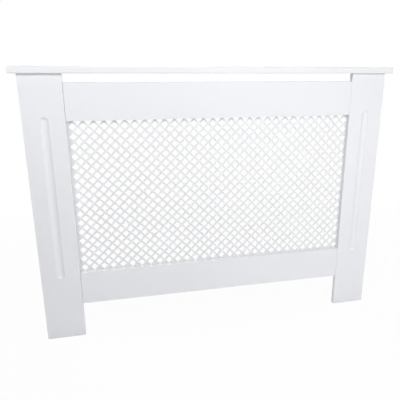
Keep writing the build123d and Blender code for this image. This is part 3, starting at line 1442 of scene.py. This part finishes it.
@dataclass(frozen=True)
class CrossRecess:
    """Cross recess that narrows downward."""

    length: float
    width: float
    depth: float
    foot_length: float = 0.45
    foot_width: float = 0.75
    overrun: float = 0.3 * MM

    def cut(self, work: Workpiece, top: float) -> None:
        """Cuts the recess.

        Args:
            work: the piece, with its head up.
            top: height of the head's top.
        """
        over_length = 1.0 + (1.0 - self.foot_length) * self.overrun / self.depth
        for turn in (0.0, math.pi / 2):
            cutter = bmesh.new()
            bmesh.ops.create_cube(cutter, size=1.0)
            for vertex in cutter.verts:
                low = vertex.co.z < 0
                vertex.co.x *= self.length * (self.foot_length if low else over_length)
                vertex.co.y *= self.width * (self.foot_width if low else 1.0)
                vertex.co.z = top - self.depth if low else top + self.overrun
            work.cut(cutter, Matrix.Rotation(turn, 4, "Z"))


@dataclass(frozen=True)
class Thread:
    """A screw thread that runs up from a point."""

    crest: float
    root: float
    pitch: float
    point: float
    length: float
    steps: int = 8
    steepness: float = 3.2
    tip_share: float = 0.12

    def rings(self) -> Profile:
        """Radius and height of the rings that the thread needs.

        Returns:
            The rings, all of the root's radius.
        """
        count = round(self.length / self.pitch * self.steps)
        return [(self.root, self.length * i / count) for i in range(count + 1)]

    def relief(self, share: float, height: float, radius: float) -> float:
        """Radius of a threaded piece.

        Args:
            share: the share of the turn, from 0 to 1.
            height: the height over the point.
            radius: the plain radius, which is the root's on the thread's own rings.

        Returns:
            The thread's radius on its own rings, no larger than the point's cone allows, and the
            plain radius on the others.
        """
        if height > self.length + NIL or radius > self.root:
            return radius
        phase = (height / self.pitch - share) % 1.0
        ridge = max(0.0, 1.0 - abs(phase - 0.5) * self.steepness)
        fade = min(1.0, (self.length - height) / (0.5 * self.pitch))
        cone = min(1.0, (height + self.tip_share * self.point) / self.point)
        return cone * (self.root + (self.crest - self.root) * ridge * max(0.0, fade))


@dataclass
class GrillePin:
    """Pin with a low domed head."""

    length: float = 12.0 * MM
    radius: float = 0.9 * MM
    head_radius: float = 1.8 * MM
    head_high: float = 0.8 * MM
    head_turns_deg: tuple[float, ...] = (15.0, 30.0, 45.0, 60.0, 75.0)
    point: float = 2.2 * MM
    point_ring: float = 0.3
    sides: int = 20

    def blank(self, name: str) -> bpy.types.Object:
        """The pin.

        Args:
            name: the object's name.

        Returns:
            The pin, with its tip at the origin and its head up.
        """
        radius, seat, ring = self.radius, self.length, self.point_ring
        profile = [(0.0, 0.0), (ring * radius, ring * self.point), (radius, self.point)]
        profile += [(radius, seat), (self.head_radius, seat)]
        profile += dome(self.head_radius, seat, self.head_high, self.head_turns_deg)
        return new_object(name, as_mesh(name, lathe(profile, self.sides)))


@dataclass
class Dowel:
    """Fluted beech dowel with chamfered ends."""

    length: float = 30.0 * MM
    radius: float = 4.0 * MM
    flutes: int = 12
    flute_sides: int = 6
    flute_depth: float = 0.3 * MM
    chamfer_long: float = 1.2 * MM
    chamfer_deep: float = 0.72 * MM

    def grooved(self, share: float, _: float, radius: float) -> float:
        """Radius of the dowel at a share of the turn.

        Args:
            share: the share of the turn, from 0 to 1.
            _: the height, which makes no difference.
            radius: the radius between the grooves.

        Returns:
            The radius, with the flutes' grooves.
        """
        wave = 0.5 - 0.5 * math.cos(math.tau * share * self.flutes)
        return radius - self.flute_depth * wave**2

    def blank(self, name: str) -> bpy.types.Object:
        """The dowel.

        Args:
            name: the object's name.

        Returns:
            The dowel, standing on the origin.
        """
        radius, end = self.radius, self.radius - self.chamfer_deep
        low, high = self.chamfer_long, self.length - self.chamfer_long
        profile = [(end, 0.0), (radius, low), (radius, high), (end, self.length)]
        work = lathe(profile, self.flutes * self.flute_sides, self.grooved)
        return new_object(name, as_mesh(name, work))


@dataclass
class PanScrew:
    """Pan-head wood screw with a cross recess."""

    length: float = 12.0 * MM
    sides: int = 24
    shank_share: float = 1.12
    run_out: float = 0.2 * MM
    head_radius: float = 3.5 * MM
    head_high: float = 2.2 * MM
    head_foot: Range = (0.15 * MM, 0.2 * MM)
    head_wall: float = 0.9 * MM
    head_turns_deg: tuple[float, ...] = (25.0, 50.0, 70.0)
    head_fullness: float = 0.6
    recess: CrossRecess = CrossRecess(4.0 * MM, 0.9 * MM, 1.5 * MM)
    thread: Thread = Thread(1.75 * MM, 1.2 * MM, 1.5 * MM, 3.2 * MM, 10.6 * MM)

    def blank(self, name: str) -> bpy.types.Object:
        """The screw.

        Args:
            name: the object's name.

        Returns:
            The screw, with its point at the origin and its head up.
        """
        shank = self.thread.root * self.shank_share
        head, seat, wall = self.head_radius, self.length, self.length + self.head_wall
        inset, lift = self.head_foot
        profile = self.thread.rings()
        profile += [(shank, self.thread.length + self.run_out), (shank, seat)]
        profile += [(head - inset, seat), (head, seat + lift), (head, wall)]
        top = self.head_high - self.head_wall
        profile += dome(head, wall, top, self.head_turns_deg, self.head_fullness)
        work = Workpiece(name, lathe(profile, self.sides, self.thread.relief))
        self.recess.cut(work, self.length + self.head_high)
        return work.done()


@dataclass
class CamBolt:
    """Bolt with a head for the cam, a ribbed shank and a wood thread."""

    length: float = 33.1 * MM
    sides: int = 28
    head_radius: float = 3.3 * MM
    head_long: float = 2.7 * MM
    head_foot: float = 0.3 * MM
    head_round: tuple[Range, ...] = ((0.0, 0.8 * MM), (0.25 * MM, 0.35 * MM), (0.8 * MM, 0.0))
    neck_radius: float = 2.3 * MM
    neck_long: float = 5.0 * MM
    shank_radius: float = 3.1 * MM
    shank_chamfer: float = 0.5 * MM
    shank_plain: float = 1.2 * MM
    ribs: int = 5
    rib_high: float = 0.35 * MM
    groove_shares: tuple[float, float, float] = (0.2, 0.6, 0.8)
    thread: Thread = Thread(2.5 * MM, 1.85 * MM, 1.8 * MM, 2.4 * MM, 10.0 * MM)
    recess: CrossRecess = CrossRecess(3.6 * MM, 0.9 * MM, 1.6 * MM)

    def shank(self, start: float, end: float) -> Profile:
        """Rings of the shank, with a groove for each rib.

        Args:
            start: height of its start.
            end: height of its end.

        Returns:
            Radius and height of each ring.
        """
        thick, slim = self.shank_radius, self.shank_radius - self.rib_high
        chamfer = self.shank_chamfer
        first = start + self.shank_plain
        spacing = (end - first - self.shank_plain) / self.ribs
        profile = [(thick, start), (thick, first)]
        for i in range(self.ribs):
            down, floor, up = (first + (i + share) * spacing for share in self.groove_shares)
            profile += [(slim, down), (slim, floor), (thick, up)]
        return [*profile, (thick, end - chamfer), (thick - chamfer, end)]

    def blank(self, name: str) -> bpy.types.Object:
        """The bolt.

        Args:
            name: the object's name.

        Returns:
            The bolt, with its thread's tip at the origin and its head up.
        """
        top, head, neck, foot = self.length, self.head_radius, self.neck_radius, self.head_foot
        neck_end = top - self.head_long
        neck_start = neck_end - self.neck_long
        profile = self.thread.rings() + self.shank(self.thread.length, neck_start)
        profile += [(neck, neck_start), (neck, neck_end)]
        profile += [(head - foot, neck_end), (head, neck_end + foot)]
        profile += [(head - inset, top - below) for inset, below in self.head_round]
        profile.append((0.0, top))
        work = Workpiece(name, lathe(profile, self.sides, self.thread.relief))
        self.recess.cut(work, top)
        return work.done()


@dataclass
class FittingSet:
    """Copies of one fitting at many places, each turned by chance about its own axis."""

    node: str
    piece_name: str
    slot: Slot
    fitting: Fitting
    free_turn: float = math.tau
    seed: int = 7
    sharp_deg: float = 40.0

    def build(self, shop: PaintShop, spots: Sequence[Spot]) -> None:
        """Makes, paints and places the set as one piece.

        Args:
            shop: where the finishes are.
            spots: where the copies go.
        """
        pattern = self.fitting.blank(f"{self.node}_pattern")
        shade(pattern, self.sharp_deg)
        weave = Weave(f"{self.node}_row")
        row = self.row(weave, pattern)
        piece = weave.make(self.piece_name, row, shop.materials[self.slot], self.base(spots))
        bpy.data.objects.remove(pattern)
        shop.dress(piece, self.slot)
        settle(piece, "cabinet", self.node)

    def base(self, spots: Sequence[Spot]) -> bpy.types.Mesh:
        """The mesh that the copies stand on.

        Args:
            spots: where the copies go.

        Returns:
            A point at each tip, with the direction to its head as the attribute "aim".
        """
        mesh = bpy.data.meshes.new(f"{self.node}_spots")
        mesh.from_pydata([spot.tip for spot in spots], [], [])
        aims = mesh.attributes.new("aim", "FLOAT_VECTOR", "POINT")
        aims.data.foreach_set("vector", [c for spot in spots for c in spot.aim])
        return mesh

    def row(self, weave: Weave, pattern: bpy.types.Object) -> bpy.types.NodeSocket:
        """A copy of the fitting on each point.

        Args:
            weave: the tree.
            pattern: the fitting.

        Returns:
            The copies.
        """
        spots = weave.ask("Spots", "NodeSocketGeometry")
        fitting = weave.ask("Fitting", "NodeSocketObject", pattern)
        turn = weave.size("Free Turn", self.free_turn)
        seed = weave.count("Seed", self.seed)
        copy = weave.node("GeometryNodeObjectInfo", inputs={"Object": fitting}).outputs["Geometry"]
        aim = weave.shape("InputNamedAttribute", {"data_type": "FLOAT_VECTOR"}, Name="aim")
        lean = weave.node("FunctionNodeAlignRotationToVector", {"axis": "Z"}, {"Vector": aim})
        chance = weave.node(
            "FunctionNodeRandomValue", {"data_type": "FLOAT"}, {"Max": turn, "Seed": seed}
        ).outputs["Value"]
        spin = weave.node("FunctionNodeEulerToRotation", inputs={0: weave.vector(z=chance)})
        rotation = weave.node(
            "FunctionNodeRotateRotation",
            {"rotation_space": "LOCAL"},
            {"Rotation": lean.outputs[0], "Rotate By": spin.outputs[0]},
        ).outputs[0]
        return weave.shape("InstanceOnPoints", Points=spots, Instance=copy, Rotation=rotation)


@dataclass
class CamLock:
    """Zinc cam with a crown, an off-centre hollow, the neck's slot and the head's way out."""

    radius: float = 7.42 * MM
    sides: int = 72
    height: float = 12.0 * MM
    rim: float = 0.5 * MM
    rim_share: float = 0.3
    crown: float = 3.7 * MM
    hollow_radius: float = 5.4 * MM
    hollow_sides: int = 48
    throw: float = 0.3 * MM
    neck_half: float = 2.65 * MM
    head_half: float = 3.65 * MM
    arrow_tip: float = 6.6 * MM
    arrow_tail: float = 4.4 * MM
    arrow_share: float = 0.62
    arrow_depth: float = 0.4 * MM
    overrun: float = 1.0 * MM
    recess: CrossRecess = CrossRecess(5.6 * MM, 1.3 * MM, 2.2 * MM)

    def build(self, shop: PaintShop, joinery: Joinery) -> None:
        """Makes, paints and places a cam for each seat.

        Args:
            shop: where the finishes are.
            joinery: where the seats are.
        """
        pattern = self.casting("cam_pattern", -joinery.bolt_depth)
        shade(pattern)
        for node in joinery.cam_nodes():
            mesh = pattern.data.copy()
            mesh.transform(joinery.cam_seat(node))
            piece = new_object(f"{node}_casting", mesh)
            mesh.name = piece.name
            shop.dress(piece, Slot.CASTING)
            settle(piece, BODY_OF[node], node)
        bpy.data.objects.remove(pattern)

    def casting(self, name: str, bolt: float) -> bpy.types.Object:
        """The cam in its seat's frame, locked.

        Args:
            name: the object's name.
            bolt: height of the bolt's axis.

        Returns:
            The cam.
        """
        work = Workpiece(name, self.blank())
        bottom = -self.height - self.overrun
        far = self.radius + self.overrun
        hollow = [(self.hollow_radius, bottom), (self.hollow_radius, -self.crown)]
        work.cut(lathe(hollow, self.hollow_sides), Matrix.Translation((-self.throw, 0.0, 0.0)))
        low, high = bolt - self.neck_half, bolt + self.neck_half
        work.cut(box_mesh((-far, -far, low), (far, 0.0, high)))
        work.cut(box_mesh((0.0, -self.overrun, low), (far, self.neck_half, high)))
        work.cut(box_mesh((-far, -self.head_half, bottom), (0.0, self.head_half, -self.crown)))
        self.recess.cut(work, 0.0)
        work.cut(*self.arrow())
        return work.done()

    def blank(self) -> bmesh.types.BMesh:
        """The cam before any cut.

        Returns:
            A disc with a chamfered foot and a rounded rim, its top at height 0.
        """
        radius, inner, bottom = self.radius, self.radius - self.rim, -self.height
        bevel = self.rim_share * self.rim
        profile = [(inner, bottom), (radius, bottom + self.rim), (radius, -self.rim)]
        profile += [(radius - bevel, -bevel), (inner, 0.0)]
        return lathe(profile, self.sides)

    def arrow(self) -> tuple[bmesh.types.BMesh, Matrix]:
        """The mark that shows where the bolt is, as a solid, and its place.

        Returns:
            An arrow head that points along +X.
        """
        long = self.arrow_tip - self.arrow_tail
        half, depth = long * self.arrow_share, self.arrow_depth
        mark = prism([(-half, 0.0), (half, 0.0), (0.0, long)], -depth, depth, Axis.Z)
        place = Matrix.Translation((self.arrow_tail, 0.0, 0.0))
        return mark, place @ Matrix.Rotation(-math.pi / 2, 4, "Z")


@dataclass
class WallBracket:
    """Bent steel plate: one arm on the side panel, the other flat on the wall."""

    node: str
    thick: float = 2.0 * MM
    bend: float = 1.0 * MM
    bend_steps: int = 8
    corner: float = 2.0 * MM
    corner_steps: int = 6
    wall_hole_radius: float = 2.75 * MM
    wall_hole_inset: float = 11.0 * MM
    screw_hole_radius: float = 1.85 * MM
    overrun: float = 1.0 * MM

    def build(self, shop: PaintShop, joinery: Joinery) -> None:
        """Makes, paints and places the bracket.

        Args:
            shop: where the finishes are.
            joinery: where its screws are.
        """
        low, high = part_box(self.node)
        side = side_of((low.x + high.x) / 2)
        panel = high.x if side > 0 else low.x
        free = low.x if side > 0 else high.x
        line = self.plate_line(panel, free, side, low.y, high.y)
        work = prism(line, low.z, high.z, Axis.Z)
        ease(work, self.end_edges(work, free, low.y), self.corner, self.corner_steps)
        plate = Workpiece(f"{self.node}_plate", work)
        middle = (low.z + high.z) / 2
        mouth = Vector((free + side * self.wall_hole_inset, high.y + self.overrun, middle))
        plate.cut(*self.hole(mouth, Vector((0.0, -1.0, 0.0)), self.wall_hole_radius))
        for spot in joinery.screws():
            if side_of(spot.tip.x) == side:
                mouth = Vector((panel + side * self.overrun, spot.tip.y, middle))
                plate.cut(*self.hole(mouth, spot.aim, self.screw_hole_radius))
        piece = plate.done()
        shade(piece)
        shop.dress(piece, Slot.PLATE)
        settle(piece, "cabinet", self.node)

    def hole(self, mouth: Vector, along: Vector, radius: float) -> tuple[bmesh.types.BMesh, Matrix]:
        """A hole through the plate, as a solid, and its place."""
        return Hole(mouth, along, radius, self.thick + 2 * self.overrun).cutter()

    @staticmethod
    def end_edges(work: bmesh.types.BMesh, free: float, near: float) -> list[bmesh.types.BMEdge]:
        """The plate's corners: the level edges at the free ends of its arms.

        Args:
            work: the plate.
            free: x of the free end of the arm on the wall.
            near: y of the free end of the arm on the panel.

        Returns:
            The edges.
        """
        found = []
        for edge in work.edges:
            ends = [vertex.co for vertex in edge.verts]
            level = abs(ends[0].z - ends[1].z) < NEAR
            on_wall = all(abs(end.x - free) < NEAR for end in ends)
            on_panel = all(abs(end.y - near) < NEAR for end in ends)
            if level and (on_wall or on_panel):
                found.append(edge)
        return found

    def plate_line(
        self, panel: float, free: float, side: int, near: float, wall: float
    ) -> Profile:
        """Outline of the bent plate from above.

        Args:
            panel: x of the side panel's face.
            free: x of the free end of the arm on the wall.
            side: -1 on the left and 1 on the right.
            near: y of the free end of the arm on the panel.
            wall: y of the wall.

        Returns:
            The corners, in order.
        """
        outer = self.bend + self.thick
        x, y = panel - side * outer, wall - outer
        turns = quarter_turn(self.bend_steps)
        outside, inside = (
            [(x + side * radius * math.cos(t), y + radius * math.sin(t)) for t in turns]
            for radius in (outer, self.bend)
        )
        wall_end = [(free, wall), (free, wall - self.thick)]
        panel_end = [(panel - side * self.thick, near)]
        return [(panel, near)] + outside + wall_end + inside[::-1] + panel_end


# ---------------------------------------------------------------------------------------------
# Studio
# ---------------------------------------------------------------------------------------------


@dataclass
class SoftBox:
    """A square area light that looks at a point."""

    name: str
    place: Place
    target: Place
    size: float
    power: float

    def build(self) -> None:
        """Makes the light."""
        lamp = bpy.data.lights.new(self.name, "AREA")
        lamp.shape = "SQUARE"
        lamp.size = self.size
        lamp.energy = self.power
        light = bpy.data.objects.new(self.name, lamp)
        bpy.context.scene.collection.objects.link(light)
        light.location = self.place
        aim = Vector(self.target) - Vector(self.place)
        light.rotation_euler = aim.to_track_quat("-Z", "Y").to_euler()


@dataclass
class Studio:
    """Pale floor, white surroundings, soft light and the photo's camera."""

    floor_size: float = 14.0
    floor_low: float = -20.0 * MM
    floor_top: float = -0.1 * MM
    floor_colour: Colour = (0.82, 0.82, 0.83)
    floor_white: float = 0.95
    floor_fade: Range = (0.7, 1.8)
    world_strength: float = 0.25
    camera_place: Place = (-0.28676, -1.34108, 0.81731)
    camera_turn_deg: Place = (73.6405, -0.2322, -13.1557)
    lens_mm: float = 39.137
    sensor_mm: float = 36.0
    shift: Range = (-0.05128, -0.01594)
    lights: tuple[SoftBox, ...] = (
        SoftBox("key_light", (0.35, -1.3, 1.2), (0.1, 0.0, 0.6), 0.22, 6.95),
        SoftBox("left_light", (-0.84, -0.95, 1.28), (-0.3, 0.0, 0.6), 0.3, 4.9),
        SoftBox("low_light", (0.9, -1.4, 0.25), (0.4, 0.0, 0.3), 0.6, 4.1),
        SoftBox("top_light", (0.3, -0.4, 2.6), (0.0, 0.0, 0.45), 0.8, 6.0),
        SoftBox("left_fill", (-2.4, 0.3, 1.3), (-0.5, 0.1, 0.45), 0.5, 11.0),
        SoftBox("right_fill", (2.4, 0.3, 1.3), (0.5, 0.1, 0.45), 0.5, 16.0),
        SoftBox("wall_fill", (0.0, 2.6, 1.5), (0.0, 0.0, 0.45), 1.2, 30.0),
    )

    def build(self) -> None:
        """Makes the whole studio."""
        self.floor()
        self.surroundings()
        self.camera()
        for light in self.lights:
            light.build()
        bpy.context.scene.view_settings.view_transform = "Standard"

    @staticmethod
    def seen_directly(shader: Shader) -> Value:
        """Which rays see the pale studio itself.

        Args:
            shader: the floor's or the world's tree.

        Returns:
            1 for a ray from the camera, a reflection or a view through something clear.
        """
        path = shader.node("ShaderNodeLightPath").outputs
        camera, glossy, clear = (
            Value(shader, path[f"Is {kind} Ray"]) for kind in ("Camera", "Glossy", "Transmission")
        )
        return camera.most(glossy).most(clear)

    def floor(self) -> None:
        """Plain pale floor that shows white and keeps a soft shadow of the cover."""
        half = self.floor_size / 2
        work = box_mesh((-half, -half, self.floor_low), (half, half, self.floor_top))
        piece = new_object("studio_floor", as_mesh("studio_floor", work))
        shader = Shader(bpy.data.materials.new("pale_floor"))
        x, y, _ = shader.axes(shader.place())
        far = (x * x + y * y).rise(*(distance**2 for distance in self.floor_fade))
        share = self.seen_directly(shader) * (self.floor_white + far * (1.0 - self.floor_white))
        matt = shader.node("ShaderNodeBsdfDiffuse", inputs={"Color": self.floor_colour}).outputs[0]
        glow = shader.node("ShaderNodeEmission", inputs={"Color": WHITE, "Strength": 1.0}).outputs[0]
        mix = shader.node("ShaderNodeMixShader", inputs={0: share, 1: matt, 2: glow}).outputs[0]
        shader.node("ShaderNodeOutputMaterial", inputs={"Surface": mix})
        piece.data.materials.append(shader.holder)

    def surroundings(self) -> None:
        """White surroundings that light the cover evenly."""
        world = bpy.data.worlds.new("white_surroundings")
        bpy.context.scene.world = world
        shader = Shader(world)
        strength = self.world_strength + self.seen_directly(shader) * (1.0 - self.world_strength)
        sky = shader.node("ShaderNodeBackground", inputs={"Color": WHITE, "Strength": strength})
        shader.node("ShaderNodeOutputWorld", inputs={"Surface": sky.outputs[0]})

    def camera(self) -> None:
        """Camera at the photo's place, turn and lens."""
        lens = bpy.data.cameras.new("photo_camera")
        lens.lens = self.lens_mm
        lens.sensor_width = self.sensor_mm
        lens.shift_x, lens.shift_y = self.shift
        camera = bpy.data.objects.new("photo_camera", lens)
        bpy.context.scene.collection.objects.link(camera)
        camera.location = self.camera_place
        camera.rotation_euler = [math.radians(angle) for angle in self.camera_turn_deg]
        bpy.context.scene.camera = camera


def main() -> None:
    """Builds the cover and its studio."""
    logging.basicConfig(level=logging.INFO, format="%(message)s")
    Studio().build()
    shop, joinery = PaintShop(), Joinery()
    boards = (
        Shelf("shelf"),
        Leg("leg_left"),
        Leg("leg_right"),
        FrontBoard("rail_upper"),
        FrontBoard("rail_lower"),
        SidePanel("side_left"),
        SidePanel("side_right"),
    )
    for board in boards:
        board.build(shop, joinery)
    DiamondGrille().build(shop)
    FittingSet("grille_pins", "grille_pin_set", Slot.WIRE, GrillePin()).build(shop, joinery.pins())
    FittingSet("dowels", "dowel_set", Slot.DOWEL, Dowel()).build(shop, joinery.dowels())
    FittingSet("cam_bolts", "cam_bolt_set", Slot.WIRE, CamBolt()).build(shop, joinery.bolts())
    screws = joinery.screws()
    FittingSet("bracket_screws", "bracket_screw_set", Slot.WIRE, PanScrew()).build(shop, screws)
    CamLock().build(shop, joinery)
    for node in ("bracket_left", "bracket_right"):
        WallBracket(node).build(shop, joinery)


if __name__ == "__main__":
    main()
